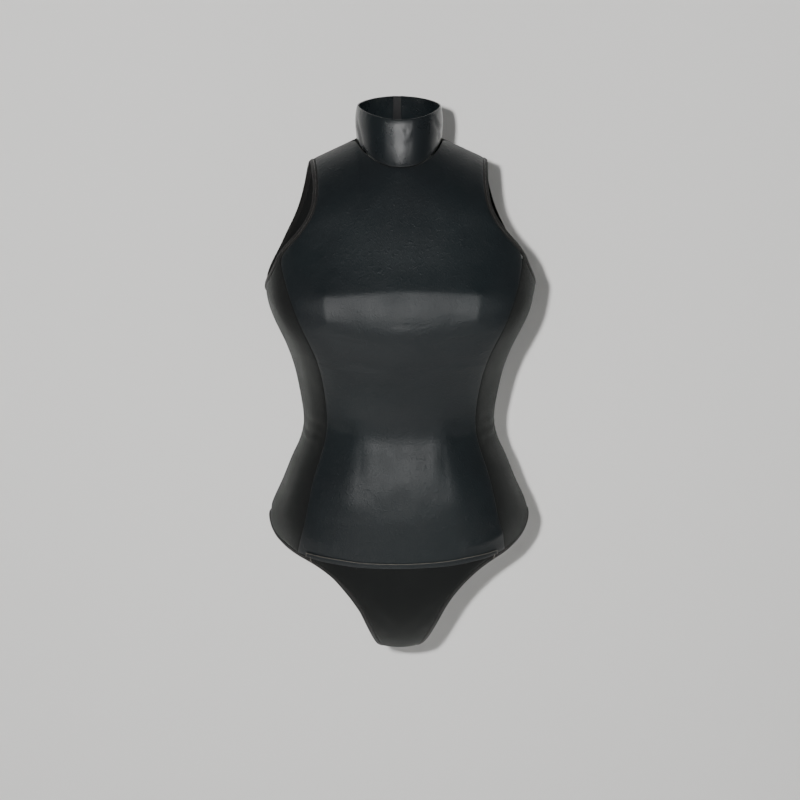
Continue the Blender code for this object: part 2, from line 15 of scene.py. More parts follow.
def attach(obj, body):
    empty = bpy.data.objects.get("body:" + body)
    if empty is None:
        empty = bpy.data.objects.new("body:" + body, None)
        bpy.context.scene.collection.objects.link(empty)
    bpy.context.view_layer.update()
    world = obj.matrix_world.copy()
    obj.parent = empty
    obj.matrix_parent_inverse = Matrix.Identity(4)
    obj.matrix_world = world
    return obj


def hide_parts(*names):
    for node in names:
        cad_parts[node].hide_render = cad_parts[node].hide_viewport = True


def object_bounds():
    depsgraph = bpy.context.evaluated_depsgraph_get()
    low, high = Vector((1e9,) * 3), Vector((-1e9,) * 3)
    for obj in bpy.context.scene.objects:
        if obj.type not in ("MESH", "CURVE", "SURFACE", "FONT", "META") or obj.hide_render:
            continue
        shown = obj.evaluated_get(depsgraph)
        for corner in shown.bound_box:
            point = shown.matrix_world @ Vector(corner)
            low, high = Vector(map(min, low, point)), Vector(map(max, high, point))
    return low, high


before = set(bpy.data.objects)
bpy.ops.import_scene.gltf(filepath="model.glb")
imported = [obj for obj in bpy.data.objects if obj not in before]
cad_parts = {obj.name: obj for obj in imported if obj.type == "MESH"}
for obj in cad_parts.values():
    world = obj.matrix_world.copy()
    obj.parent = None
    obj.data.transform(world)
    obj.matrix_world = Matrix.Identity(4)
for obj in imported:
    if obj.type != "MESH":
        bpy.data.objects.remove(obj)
cad_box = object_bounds()


# Camera and studio: a pale sweep close behind, a small lamp beside the camera that lights it
# and gives the narrow shadow, and long strips of soft light below it for the wet look's sheen.
# The sweep is clear from its back, so that the garment is seen from behind too.
CAMERA_AIM = Vector((0.0012, 0.0, -0.308))
CAMERA_DISTANCE = 2.6
CAMERA_HEIGHT_ANGLE = math.radians(16.0)
CAMERA_SIDE_ANGLE = math.radians(2.5)
CAMERA_LENS = 96.0
FLOOR_DROP = 0.62
WALL_BEHIND = 0.42
SWEEP_HALF_WIDTH = 3.2
SWEEP_FRONT = 3.4
SWEEP_TOP = 2.6
SWEEP_CORNER = 0.4
WORLD_COLOUR = (0.86, 0.88, 0.90, 1.0)
WORLD_STRENGTH = 0.045
WALL_PAINT = (0.80, 0.80, 0.79, 1.0)


def aim_at(thing, target):
    thing.rotation_euler = (target - thing.location).to_track_quat("-Z", "Y").to_euler()


def lamp(name, place, size, power, target, glints, washes):
    light = bpy.data.lights.new(name, "AREA")
    light.shape = "RECTANGLE"
    light.size, light.size_y = size
    light.energy = power
    light.color = WHITE
    thing = bpy.data.objects.new(name, light)
    thing.location = Vector(place)
    thing.visible_camera = False
    thing.visible_glossy = glints
    thing.visible_diffuse = washes
    aim_at(thing, Vector(target))
    bpy.context.scene.collection.objects.link(thing)


camera = bpy.data.objects.new("camera", bpy.data.cameras.new("camera"))
camera.data.lens = CAMERA_LENS
camera.data.sensor_width = 36.0
camera.data.clip_end = 50.0
camera.location = CAMERA_AIM + CAMERA_DISTANCE * Vector(
    (
        -math.sin(CAMERA_SIDE_ANGLE) * math.cos(CAMERA_HEIGHT_ANGLE),
        -math.cos(CAMERA_SIDE_ANGLE) * math.cos(CAMERA_HEIGHT_ANGLE),
        math.sin(CAMERA_HEIGHT_ANGLE),
    )
)
aim_at(camera, CAMERA_AIM)
bpy.context.scene.collection.objects.link(camera)
bpy.context.scene.camera = camera

WHITE = (1.0, 0.99, 0.98)
CHEST = (0.0, 0.0, -0.26)
LAMPS = (
    # name, place, size, watts, aim, shows in gloss, lights the cloth
    ("beside_camera", (-0.22, -2.5, 0.47), (0.035, 0.035), 95.0, CAMERA_AIM, False, True),
    ("strip", (-0.10, -2.62, 0.225), (1.60, 0.36), 34.0, CHEST, True, False),
    ("strip_fade", (-0.10, -2.62, -0.16), (0.60, 0.40), 4.0, CHEST, True, False),
    ("strip_left", (-1.45, -2.30, 0.225), (0.9, 0.45), 5.5, CHEST, True, False),
    ("strip_right", (1.20, -2.40, 0.225), (0.7, 0.45), 7.0, CHEST, True, False),
    ("low_left", (-0.42, -0.80, -1.15), (0.9, 0.5), 0.8, CHEST, True, False),
    ("behind", (0.9, 2.6, 0.7), (0.8, 0.8), 110.0, CAMERA_AIM, True, True),
    ("overhead", (-0.4, -0.4, 2.3), (1.6, 1.4), 1.8, CAMERA_AIM, False, True),
)
for row in LAMPS:
    lamp(*row)

world = bpy.data.worlds.new("studio")
world.use_nodes = True
world.node_tree.nodes["Background"].inputs["Color"].default_value = WORLD_COLOUR
world.node_tree.nodes["Background"].inputs["Strength"].default_value = WORLD_STRENGTH
bpy.context.scene.world = world


def shader_of(name):
    material = bpy.data.materials.new(name)
    material.use_nodes = True
    nodes = material.node_tree.nodes
    links = material.node_tree.links
    return material, nodes, links, nodes["Principled BSDF"]


def stage_sweep():
    floor = cad_box[0][2] - FLOOR_DROP
    profile = [(-SWEEP_FRONT, floor)]
    for k in range(9):
        angle = math.pi / 2 * k / 8
        profile.append(
            (
                WALL_BEHIND - SWEEP_CORNER + SWEEP_CORNER * math.sin(angle),
                floor + SWEEP_CORNER - SWEEP_CORNER * math.cos(angle),
            )
        )
    profile.append((WALL_BEHIND, floor + SWEEP_TOP))
    data = bmesh.new()
    rows = [
        [data.verts.new((x, y, z)) for y, z in profile]
        for x in (-SWEEP_HALF_WIDTH, SWEEP_HALF_WIDTH)
    ]
    for k in range(len(profile) - 1):
        data.faces.new((rows[0][k], rows[1][k], rows[1][k + 1], rows[0][k + 1]))
    mesh = bpy.data.meshes.new("sweep")
    data.to_mesh(mesh)
    data.free()
    mesh.shade_smooth()
    sweep = bpy.data.objects.new("sweep", mesh)
    bpy.context.scene.collection.objects.link(sweep)
    paint, nodes, links, shader = shader_of("pale_wall")
    shader.inputs["Base Color"].default_value = WALL_PAINT
    shader.inputs["Roughness"].default_value = 0.9
    plaster = nodes.new("ShaderNodeTexNoise")
    plaster.inputs["Scale"].default_value = 60.0
    bump = nodes.new("ShaderNodeBump")
    bump.inputs["Strength"].default_value = 0.05
    bump.inputs["Distance"].default_value = 0.002
    links.new(plaster.outputs["Fac"], bump.inputs["Height"])
    links.new(bump.outputs["Normal"], shader.inputs["Normal"])
    side = nodes.new("ShaderNodeNewGeometry")
    clear = nodes.new("ShaderNodeBsdfTransparent")
    either = nodes.new("ShaderNodeMixShader")
    links.new(side.outputs["Backfacing"], either.inputs["Fac"])
    links.new(shader.outputs[0], either.inputs[1])
    links.new(clear.outputs[0], either.inputs[2])
    links.new(either.outputs[0], nodes["Material Output"].inputs["Surface"])
    mesh.materials.append(paint)


stage_sweep()


# Front panel: one piece of wet-look coated knit, cut flat and sewn in at the collar, the
# shoulders, the armholes and two princess seams, and hemmed at the hips. Worn, it is
# stretched taut across the chest and the belly, and the coating creases finely there.
SHARP = math.radians(50)
CLOTH = 0.0013
ROUND = 0.12
SEAM_ROLL = 0.00035
SEAM_ROLL_WIDTH = 0.0022
PUCKER_PITCH = 0.0085
PUCKER_REACH = 0.0075
PUCKER_START = 0.0012
# Painted seam highlight: the share by which the cloth is lightened in specks at its seams, and how far
# from them it reaches.
SEAM_HIGHLIGHT_SHARE = 0.4
SEAM_HIGHLIGHT_REACH = 0.0025
GLOSS = (0.0075, 0.0120, 0.0135)
GLOSS_SHADE = (0.0090, 0.0095, 0.0110)
# The pale colour of the painted seam highlight.
SEAM_HIGHLIGHT_PAINT = (0.013, 0.013, 0.013)
FRONT_CREASES = (
    # height and half width in mm, 1 for a crisp crest, then turns from the front and heights
    (
        1.7,
        17.0,
        1,
        ((-37.0, -0.1505), (-18.0, -0.1465), (0.0, -0.1445), (18.0, -0.1460), (37.0, -0.1495)),
    ),
    (1.9, 10.0, 1, ((-37.0, -0.1480), (-36.5, -0.1620), (-35.0, -0.1780))),
    (1.9, 10.0, 1, ((35.5, -0.1480), (35.0, -0.1620), (33.5, -0.1780))),
    (-2.4, 26.0, 0, ((-24.0, -0.1980), (-26.0, -0.2180), (-27.0, -0.2420))),
    (-2.4, 26.0, 0, ((24.0, -0.1980), (26.0, -0.2180), (27.0, -0.2420))),
    (0.9, 20.0, 0, ((0.0, -0.1820), (0.0, -0.2100), (0.0, -0.2400))),
    (2.8, 32.0, 0, ((-30.0, -0.3640), (0.0, -0.3600), (30.0, -0.3640))),
    (-0.45, 13.0, 0, ((0.0, -0.3060), (1.5, -0.3250), (0.5, -0.3540))),
    (2.2, 20.0, 0, ((-33.0, -0.3060), (-32.0, -0.3600), (-34.0, -0.4260))),
    (2.0, 20.0, 0, ((32.0, -0.3060), (31.0, -0.3600), (33.0, -0.4260))),
    (0.8, 15.0, 0, ((-18.0, -0.4060), (0.0, -0.3840), (18.0, -0.4060))),
    (2.6, 9.0, 1, ((38.0, -0.4620), (47.0, -0.4600), (57.0, -0.4540))),
    (-0.7, 7.0, 0, ((40.0, -0.4560), (47.0, -0.4520), (53.0, -0.4440))),
    (0.6, 9.0, 0, ((-54.0, -0.4520), (-46.0, -0.4600), (-38.0, -0.4640))),
    (-0.6, 7.0, 0, ((-49.0, -0.0950), (-42.0, -0.1120), (-36.0, -0.1260))),
    (-0.6, 7.0, 0, ((49.0, -0.0950), (43.0, -0.1100), (38.0, -0.1230))),
    (0.5, 6.0, 0, ((-46.0, -0.1060), (-39.0, -0.1220), (-34.0, -0.1340))),
    (0.25, 10.0, 0, ((-20.0, -0.0300), (-24.0, -0.0520), (-30.0, -0.0700))),
    (0.20, 10.0, 0, ((22.0, -0.0280), (27.0, -0.0500), (33.0, -0.0660))),
    (-0.8, 6.0, 0, ((-52.0, -0.3230), (-45.0, -0.3270), (-36.0, -0.3280))),
    (-0.8, 6.0, 0, ((53.0, -0.3330), (45.0, -0.3350), (37.0, -0.3330))),
)


def coordinates(mesh):
    places = np.empty(len(mesh.vertices) * 3)
    mesh.vertices.foreach_get("co", places)
    return places.reshape(-1, 3)


def outward(mesh):
    ways = np.empty(len(mesh.vertices) * 3)
    mesh.vertex_normals.foreach_get("vector", ways)
    return ways.reshape(-1, 3)


def edges_of(mesh):
    ends = np.empty(len(mesh.edges) * 2, dtype=np.int32)
    mesh.edges.foreach_get("vertices", ends)
    return ends.reshape(-1, 2)


def moved_to(mesh, places):
    mesh.vertices.foreach_set("co", places.ravel())
    mesh.update()


def linked(name, mesh):
    thing = bpy.data.objects.new(name, mesh)
    bpy.context.scene.collection.objects.link(thing)
    return thing


def settled(thing):
    """The piece with its modifiers applied."""
    graph = bpy.context.evaluated_depsgraph_get()
    mesh = bpy.data.meshes.new_from_object(thing.evaluated_get(graph))
    thing.modifiers.clear()
    old = thing.data
    thing.data = mesh
    bpy.data.meshes.remove(old)
    mesh.name = thing.name
    mesh.shade_smooth()
    return thing


def outer_face(data):
    """The faces of a closed cloth wall that look away from the garment's inside."""
    data.faces.ensure_lookup_table()
    data.faces.index_update()
    seen = set()
    best = []
    best_reach = 0.0
    for start in data.faces:
        if start.index in seen:
            continue
        seen.add(start.index)
        region = [start]
        for face in region:
            for edge in face.edges:
                if edge.calc_face_angle(0.0) > SHARP:
                    continue
                for other in edge.link_faces:
                    if other.index not in seen:
                        seen.add(other.index)
                        region.append(other)
        reach = 0.0
        for face in region:
            middle = face.calc_center_median()
            reach += face.calc_area() * (face.normal.x * middle.x + face.normal.y * middle.y)
        if reach > best_reach:
            best = region
            best_reach = reach
    return best


def outer_sheet(name, node, levels):
    """The outside of a packed cloth piece, as an open and finely divided sheet."""
    data = bmesh.new()
    data.from_mesh(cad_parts[node].data)
    bmesh.ops.remove_doubles(data, verts=data.verts, dist=1e-6)
    data.normal_update()
    kept = set(face.index for face in outer_face(data))
    bmesh.ops.delete(data, geom=[f for f in data.faces if f.index not in kept], context="FACES")
    bmesh.ops.join_triangles(
        data,
        faces=data.faces,
        angle_face_threshold=math.pi,
        angle_shape_threshold=math.pi,
        topology_influence=1.9,
    )
    mesh = bpy.data.meshes.new(name)
    data.to_mesh(mesh)
    data.free()
    mesh.materials.clear()
    thing = linked(name, mesh)
    fine = thing.modifiers.new("fine", "SUBSURF")
    fine.levels = levels
    fine.render_levels = levels
    fine.boundary_smooth = "PRESERVE_CORNERS"
    return settled(thing)


def rim_loops(mesh):
    """The sheet's edges in order, as lists of vertex numbers."""
    data = bmesh.new()
    data.from_mesh(mesh)
    data.edges.ensure_lookup_table()
    following = {}
    for edge in data.edges:
        if edge.is_boundary:
            loop = edge.link_loops[0]
            following[loop.vert.index] = loop.link_loop_next.vert.index
    data.free()
    loops = []
    while following:
        first = min(following)
        loop = [first]
        here = following.pop(first)
        while here != first:
            loop.append(here)
            here = following.pop(here)
        loops.append(loop)
    return loops


def sheet_rims(mesh):
    """Each edge of the sheet as points, ways out of the cloth, and ways into the sheet."""
    places = coordinates(mesh)
    ways = outward(mesh)
    rims = []
    for loop in rim_loops(mesh):
        line = places[loop]
        ahead = np.roll(line, -1, axis=0) - np.roll(line, 1, axis=0)
        ahead /= np.linalg.norm(ahead, axis=1)[:, None]
        rims.append((line, ways[loop], np.cross(ways[loop], ahead)))
    return rims


def ironed(mesh, rounds):
    """Evens out the sheet between its edges, which stay as they are."""
    places = coordinates(mesh)
    ends = edges_of(mesh)
    count = len(places)
    degree = np.bincount(ends.ravel(), minlength=count)
    free = np.ones(count, dtype=bool)
    for loop in rim_loops(mesh):
        free[loop] = False
    for _ in range(rounds):
        for share in (0.50, -0.515):
            total = np.empty_like(places)
            for axis in range(3):
                total[:, axis] = np.bincount(
                    ends[:, 0], weights=places[ends[:, 1], axis], minlength=count
                ) + np.bincount(ends[:, 1], weights=places[ends[:, 0], axis], minlength=count)
            pull = total / degree[:, None] - places
            places[free] += share * pull[free]
    moved_to(mesh, places)


def creased(mesh, creases, around=ROUND):
    """Soft ridges and troughs, pressed into the sheet along listed lines."""
    places = coordinates(mesh)
    turn = np.arctan2(places[:, 0], -places[:, 1])
    lift = np.zeros(len(places))
    for height, half_width, crisp, line in creases:
        points = [(math.radians(t) * around, z) for t, z in line]
        fine = []
        for k in range(len(points) - 1):
            before = points[max(k - 1, 0)]
            start = points[k]
            end = points[k + 1]
            after = points[min(k + 2, len(points) - 1)]
            for step in range(8):
                part = step / 8
                fine.append(
                    [
                        0.5
                        * (
                            2 * start[i]
                            + (end[i] - before[i]) * part
                            + (2 * before[i] - 5 * start[i] + 4 * end[i] - after[i]) * part**2
                            + (3 * start[i] - before[i] - 3 * end[i] + after[i]) * part**3
                        )
                        for i in range(2)
                    ]
                )
        fine.append(list(points[-1]))
        fine = np.array(fine)
        flat = np.stack([turn * around, places[:, 2]], axis=1)
        near = np.full(len(places), 1e9)
        along = np.zeros(len(places))
        for k in range(len(fine) - 1):
            step = fine[k + 1] - fine[k]
            part = ((flat - fine[k]) @ step) / (step @ step)
            part = np.clip(part, 0.0, 1.0)
            gap = np.linalg.norm(flat - fine[k] - part[:, None] * step, axis=1)
            closer = gap < near
            near[closer] = gap[closer]
            along[closer] = (k + part[closer]) / (len(fine) - 1)
        width = half_width / 1000
        if crisp:
            bend = width * 0.12
            shape = np.exp(-(np.sqrt(near**2 + bend**2) - bend) / width * 1.2)
        else:
            shape = np.exp(-((near / width) ** 2))
        fade = np.clip(np.minimum(along, 1 - along) * 5, 0.0, 1.0)
        if not crisp:
            shape = shape * (0.35 + 0.65 * fade * fade * (3 - 2 * fade))
        lift += height / 1000 * shape
    moved_to(mesh, places + outward(mesh) * lift[:, None])


def gathered(mesh, amount, seed):
    """Rolls the sheet in along its edges and puckers it there, and stores a weight that fades with the
    distance to them: the mask of the painted seam highlight.
    """
    places = coordinates(mesh)
    ways = outward(mesh)
    rims = rim_loops(mesh)
    tree = KDTree(sum(len(loop) for loop in rims))
    run = {}
    for loop in rims:
        length = 0.0
        for k, here in enumerate(loop):
            tree.insert(Vector(places[here]), here)
            run[here] = length
            length += float(np.linalg.norm(places[loop[(k + 1) % len(loop)]] - places[here]))
    tree.balance()
    away = np.empty(len(places))
    along = np.empty(len(places))
    for k, place in enumerate(places):
        _, nearest, gap = tree.find(Vector(place))
        away[k] = gap
        along[k] = run[nearest]
    wave = np.sin(2 * np.pi * along / PUCKER_PITCH + seed)
    wave *= 0.55 + 0.45 * np.sin(along * 61.0 + seed * 2.3) * np.sin(along * 23.0 + seed)
    wave *= 1 - np.exp(-((away / PUCKER_START) ** 2))
    lift = amount * wave * np.exp(-((away / PUCKER_REACH) ** 2))
    lift -= SEAM_ROLL * np.exp(-((away / SEAM_ROLL_WIDTH) ** 2))
    moved_to(mesh, places + ways * lift[:, None])
    # Stores the weight of the painted seam highlight, which fades away from the edges.
    layer = mesh.attributes.new("rim", "FLOAT", "POINT")
    layer.data.foreach_set("value", (SEAM_HIGHLIGHT_SHARE * np.exp(-away / SEAM_HIGHLIGHT_REACH)).astype(np.float32))


def charted(mesh):
    """A UV map in metres: round the garment from the front, and up."""
    places = coordinates(mesh)
    reach = np.hypot(places[:, 0], places[:, 1])
    turn = np.arctan2(places[:, 0], -places[:, 1])
    corners = np.empty(len(mesh.loops), dtype=np.int32)
    mesh.loops.foreach_get("vertex_index", corners)
    chart = np.stack([turn * np.maximum(reach, 0.02), places[:, 2]], axis=1)[corners]
    layer = mesh.uv_layers.get("cloth") or mesh.uv_layers.new(name="cloth")
    layer.data.foreach_set("uv", chart.astype(np.float32).ravel())


def walled(thing, thickness, rounding=0.0004):
    """Gives the sheet its thickness towards the inside, with soft edges."""
    wall = thing.modifiers.new("wall", "SOLIDIFY")
    wall.thickness = thickness
    wall.offset = -1.0
    soft = thing.modifiers.new("soft", "BEVEL")
    soft.width = rounding
    soft.segments = 2
    soft.limit_method = "ANGLE"
    soft.angle_limit = math.radians(55)
    return settled(thing)


def shader_node(nodes, kind, values=None, **settings):
    made = nodes.new(kind)
    for name, value in settings.items():
        setattr(made, name, value)
    for name, value in (values or {}).items():
        made.inputs[name].default_value = value
    return made


def sine_of(nodes, links, source, pitch):
    """A wave along a chart coordinate, with its pitch in metres."""
    scaled = shader_node(nodes, "ShaderNodeMath", {1: 2 * math.pi / pitch}, operation="MULTIPLY")
    wave = shader_node(nodes, "ShaderNodeMath", operation="SINE")
    links.new(source, scaled.inputs[0])
    links.new(scaled.outputs[0], wave.inputs[0])
    return wave.outputs[0]


def knit_finish(name, colour, shade, rough, wale, course, knit_depth, crinkle):
    """Stretch knit: colour drift, a painted highlight in lighter specks along the seams, loops in rows,
    and a fine creasing.
    """
    material, nodes, links, shader = shader_of(name)
    chart = shader_node(nodes, "ShaderNodeUVMap", uv_map="cloth")
    spot = shader_node(nodes, "ShaderNodeTexCoord")
    drift = shader_node(nodes, "ShaderNodeTexNoise", {"Scale": 7.0, "Detail": 3.0})
    links.new(spot.outputs["Object"], drift.inputs["Vector"])
    tone = shader_node(nodes, "ShaderNodeMix", data_type="RGBA")
    tone.inputs[6].default_value = (*colour, 1.0)
    tone.inputs[7].default_value = (*shade, 1.0)
    links.new(drift.outputs["Fac"], tone.inputs["Factor"])
    # Painted highlight: near the seams the base colour is lightened in specks. This stands in for the
    # light that the rolled seams catch.
    rim = shader_node(nodes, "ShaderNodeAttribute", attribute_name="rim")
    specks = shader_node(nodes, "ShaderNodeTexNoise", {"Scale": 900.0, "Detail": 2.0})
    links.new(spot.outputs["Object"], specks.inputs["Vector"])
    mark_share = shader_node(nodes, "ShaderNodeMath", operation="MULTIPLY")
    links.new(rim.outputs["Fac"], mark_share.inputs[0])
    links.new(specks.outputs["Fac"], mark_share.inputs[1])
    seam_highlight_mix = shader_node(nodes, "ShaderNodeMix", data_type="RGBA")
    seam_highlight_mix.inputs[7].default_value = (*SEAM_HIGHLIGHT_PAINT, 1.0)
    links.new(mark_share.outputs[0], seam_highlight_mix.inputs["Factor"])
    links.new(tone.outputs[2], seam_highlight_mix.inputs[6])
    links.new(seam_highlight_mix.outputs[2], shader.inputs["Base Color"])
    patches = shader_node(nodes, "ShaderNodeTexNoise", {"Scale": 38.0, "Detail": 4.0})
    links.new(spot.outputs["Object"], patches.inputs["Vector"])
    gloss = shader_node(
        nodes,
        "ShaderNodeMapRange",
        {"From Min": 0.3, "From Max": 0.7, "To Min": rough[0], "To Max": rough[1]},
    )
    links.new(patches.outputs["Fac"], gloss.inputs["Value"])
    links.new(gloss.outputs[0], shader.inputs["Roughness"])
    split = shader_node(nodes, "ShaderNodeSeparateXYZ")
    links.new(chart.outputs["UV"], split.inputs[0])
    columns = sine_of(nodes, links, split.outputs["X"], wale)
    rows = sine_of(nodes, links, split.outputs["Y"], course)
    loops = shader_node(nodes, "ShaderNodeMath", operation="MULTIPLY")
    links.new(columns, loops.inputs[0])
    links.new(rows, loops.inputs[1])
    knit = shader_node(nodes, "ShaderNodeBump", {"Strength": 1.0, "Distance": knit_depth})
    links.new(loops.outputs[0], knit.inputs["Height"])
    folds = shader_node(
        nodes,
        "ShaderNodeTexNoise",
        {"Scale": 210.0, "Detail": 2.0, "Distortion": 0.8},
        noise_type="RIDGED_MULTIFRACTAL",
    )
    links.new(spot.outputs["Object"], folds.inputs["Vector"])
    fine = shader_node(nodes, "ShaderNodeBump", {"Strength": 1.0, "Distance": crinkle})
    links.new(folds.outputs["Fac"], fine.inputs["Height"])
    links.new(knit.outputs["Normal"], fine.inputs["Normal"])
    links.new(fine.outputs["Normal"], shader.inputs["Normal"])
    return material, shader


def shown_as(thing, material, *nodes):
    """Gives a finished piece its material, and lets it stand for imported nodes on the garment."""
    thing.data.materials.clear()
    thing.data.materials.append(material)
    if nodes:
        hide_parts(*nodes)
    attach(thing, "garment")


glossy_knit, shader = knit_finish(
    "wet_look_knit", GLOSS, GLOSS_SHADE, (0.36, 0.45), 0.0011, 0.0009, 0.00002, 0.00030
)
shader.inputs["Coat Weight"].default_value = 0.06
shader.inputs["Coat Roughness"].default_value = 0.30
shader.inputs["Specular IOR Level"].default_value = 0.25

front_panel = outer_sheet("front_panel_cloth", "front_panel", 3)
ironed(front_panel.data, 120)
creased(front_panel.data, FRONT_CREASES)
gathered(front_panel.data, 0.00016, 0.4)
rims = {"front_panel": sheet_rims(front_panel.data)}
charted(front_panel.data)
walled(front_panel, CLOTH)
shown_as(front_panel, glossy_knit, "front_panel")


# Side fronts: two shaped panels of matte stretch knit with a soft sheen, sewn to the front
# panel along its princess seams. Inside, each seam's allowance is overlocked and lies flat.
MATTE = (0.0110, 0.0122, 0.0120)
MATTE_SHADE = (0.0098, 0.0100, 0.0102)
THREAD_DARK = (0.016, 0.016, 0.017)
ALLOWANCE = 0.0064
ALLOWANCE_CLOTH = 0.0006
ALLOWANCE_GAP = 0.0004
THREAD = 0.00016
OVERLOCK_PITCH = 0.0020
SEAM_REACH = 0.0015
SIDE_CREASES = {
    "side_front_right": (
        (-0.9, 3.6, 0, ((-88.0, -0.3340), (-74.0, -0.3370), (-58.0, -0.3360))),
        (-0.8, 3.2, 0, ((-86.0, -0.3470), (-72.0, -0.3480), (-60.0, -0.3460))),
        (0.6, 3.4, 0, ((-84.0, -0.3405), (-70.0, -0.3425), (-58.0, -0.3410))),
        (-0.6, 4.5, 0, ((-86.0, -0.3180), (-70.0, -0.3220), (-56.0, -0.3240))),
        (-0.7, 6.0, 0, ((-86.0, -0.1560), (-74.0, -0.1640), (-62.0, -0.1760))),
    ),
    "side_front_left": (
        (-0.8, 3.6, 0, ((57.0, -0.3290), (71.0, -0.3310), (87.0, -0.3280))),
        (-0.8, 3.4, 0, ((59.0, -0.3430), (73.0, -0.3440), (86.0, -0.3400))),
        (0.5, 3.6, 0, ((60.0, -0.3360), (73.0, -0.3370), (86.0, -0.3340))),
        (-0.6, 5.0, 0, ((58.0, -0.3150), (70.0, -0.3170), (84.0, -0.3140))),
        (-0.7, 6.0, 0, ((62.0, -0.1760), (74.0, -0.1630), (86.0, -0.1550))),
    ),
}


def met(node, *others, apart=False):
    """The runs of a piece's edges that lie against other pieces' edges, or apart from them."""
    far = np.concatenate([line for other in others for line, _, _ in rims[other]])
    runs = []
    for line, ways, inwards in rims[node]:
        gap = np.array([np.min(np.linalg.norm(far - place, axis=1)) for place in line])
        close = (gap < SEAM_REACH) != apart
        if not close.any():
            continue
        start = 0 if close.all() else int(np.argmin(close))
        order = [(start + k) % len(line) for k in range(len(line))]
        run = []
        for here in order + [None]:
            if here is not None and close[here]:
                run.append(here)
                continue
            if len(run) > 2:
                runs.append((line[run], ways[run], inwards[run]))
            run = []
    return runs


def laid(run, sideways, up):
    """A seam's run, moved into its sheet and off the cloth."""
    line, ways, inwards = run
    return line + inwards * sideways + ways * up, inwards


def sewing_tree(name, zigzag):
    """Geometry nodes that lay thread along a path: a zigzag, or one stitch after another."""
    tree = bpy.data.node_groups.new(name, "GeometryNodeTree")
    tree.interface.new_socket(name="Geometry", in_out="OUTPUT", socket_type="NodeSocketGeometry")
    tree.interface.new_socket(name="Path", in_out="INPUT", socket_type="NodeSocketGeometry")
    for label in ("Pitch", "Sway", "Thread"):
        tree.interface.new_socket(name=label, in_out="INPUT", socket_type="NodeSocketFloat")
    tree.interface.new_socket(name="Finish", in_out="INPUT", socket_type="NodeSocketMaterial")
    nodes = tree.nodes
    links = tree.links
    given = nodes.new("NodeGroupInput")
    line = nodes.new("GeometryNodeMeshToCurve")
    links.new(given.outputs["Path"], line.inputs[0])
    if zigzag:
        even = nodes.new("GeometryNodeResampleCurve")
        even.mode = "LENGTH"
        links.new(line.outputs[0], even.inputs["Curve"])
        links.new(given.outputs["Pitch"], even.inputs["Length"])
        count = nodes.new("GeometryNodeInputIndex")
        parity = shader_node(nodes, "ShaderNodeMath", {1: 2.0}, operation="MODULO")
        links.new(count.outputs[0], parity.inputs[0])
        side = shader_node(nodes, "ShaderNodeMath", {1: 2.0, 2: -1.0}, operation="MULTIPLY_ADD")
        links.new(parity.outputs[0], side.inputs[0])
        reach = shader_node(nodes, "ShaderNodeMath", operation="MULTIPLY")
        links.new(side.outputs[0], reach.inputs[0])
        links.new(given.outputs["Sway"], reach.inputs[1])
        across = nodes.new("GeometryNodeInputNamedAttribute")
        across.data_type = "FLOAT_VECTOR"
        across.inputs["Name"].default_value = "across"
        shift = shader_node(nodes, "ShaderNodeVectorMath", operation="SCALE")
        links.new(across.outputs[0], shift.inputs[0])
        links.new(reach.outputs[0], shift.inputs["Scale"])
        swayed = nodes.new("GeometryNodeSetPosition")
        links.new(even.outputs[0], swayed.inputs["Geometry"])
        links.new(shift.outputs[0], swayed.inputs["Offset"])
        ring = shader_node(nodes, "GeometryNodeCurvePrimitiveCircle", {"Resolution": 5})
        links.new(given.outputs["Thread"], ring.inputs["Radius"])
        tube = nodes.new("GeometryNodeCurveToMesh")
        links.new(swayed.outputs[0], tube.inputs["Curve"])
        links.new(ring.outputs[0], tube.inputs["Profile Curve"])
        made = tube.outputs[0]
    else:
        spots = nodes.new("GeometryNodeCurveToPoints")
        spots.mode = "LENGTH"
        links.new(line.outputs[0], spots.inputs["Curve"])
        links.new(given.outputs["Pitch"], spots.inputs["Length"])
        bead = shader_node(
            nodes, "GeometryNodeMeshUVSphere", {"Segments": 6, "Rings": 4, "Radius": 1.0}
        )
        half = shader_node(nodes, "ShaderNodeMath", {1: 0.40}, operation="MULTIPLY")
        links.new(given.outputs["Pitch"], half.inputs[0])
        size = nodes.new("ShaderNodeCombineXYZ")
        links.new(given.outputs["Thread"], size.inputs["X"])
        links.new(given.outputs["Thread"], size.inputs["Y"])
        links.new(half.outputs[0], size.inputs["Z"])
        stitch = nodes.new("GeometryNodeInstanceOnPoints")
        links.new(spots.outputs["Points"], stitch.inputs["Points"])
        links.new(bead.outputs["Mesh"], stitch.inputs["Instance"])
        links.new(spots.outputs["Rotation"], stitch.inputs["Rotation"])
        links.new(size.outputs[0], stitch.inputs["Scale"])
        made = stitch.outputs[0]
    real = nodes.new("GeometryNodeRealizeInstances")
    links.new(made, real.inputs[0])
    finish = nodes.new("GeometryNodeSetMaterial")
    links.new(real.outputs[0], finish.inputs["Geometry"])
    links.new(given.outputs["Finish"], finish.inputs["Material"])
    links.new(finish.outputs[0], nodes.new("NodeGroupOutput").inputs[0])
    return tree


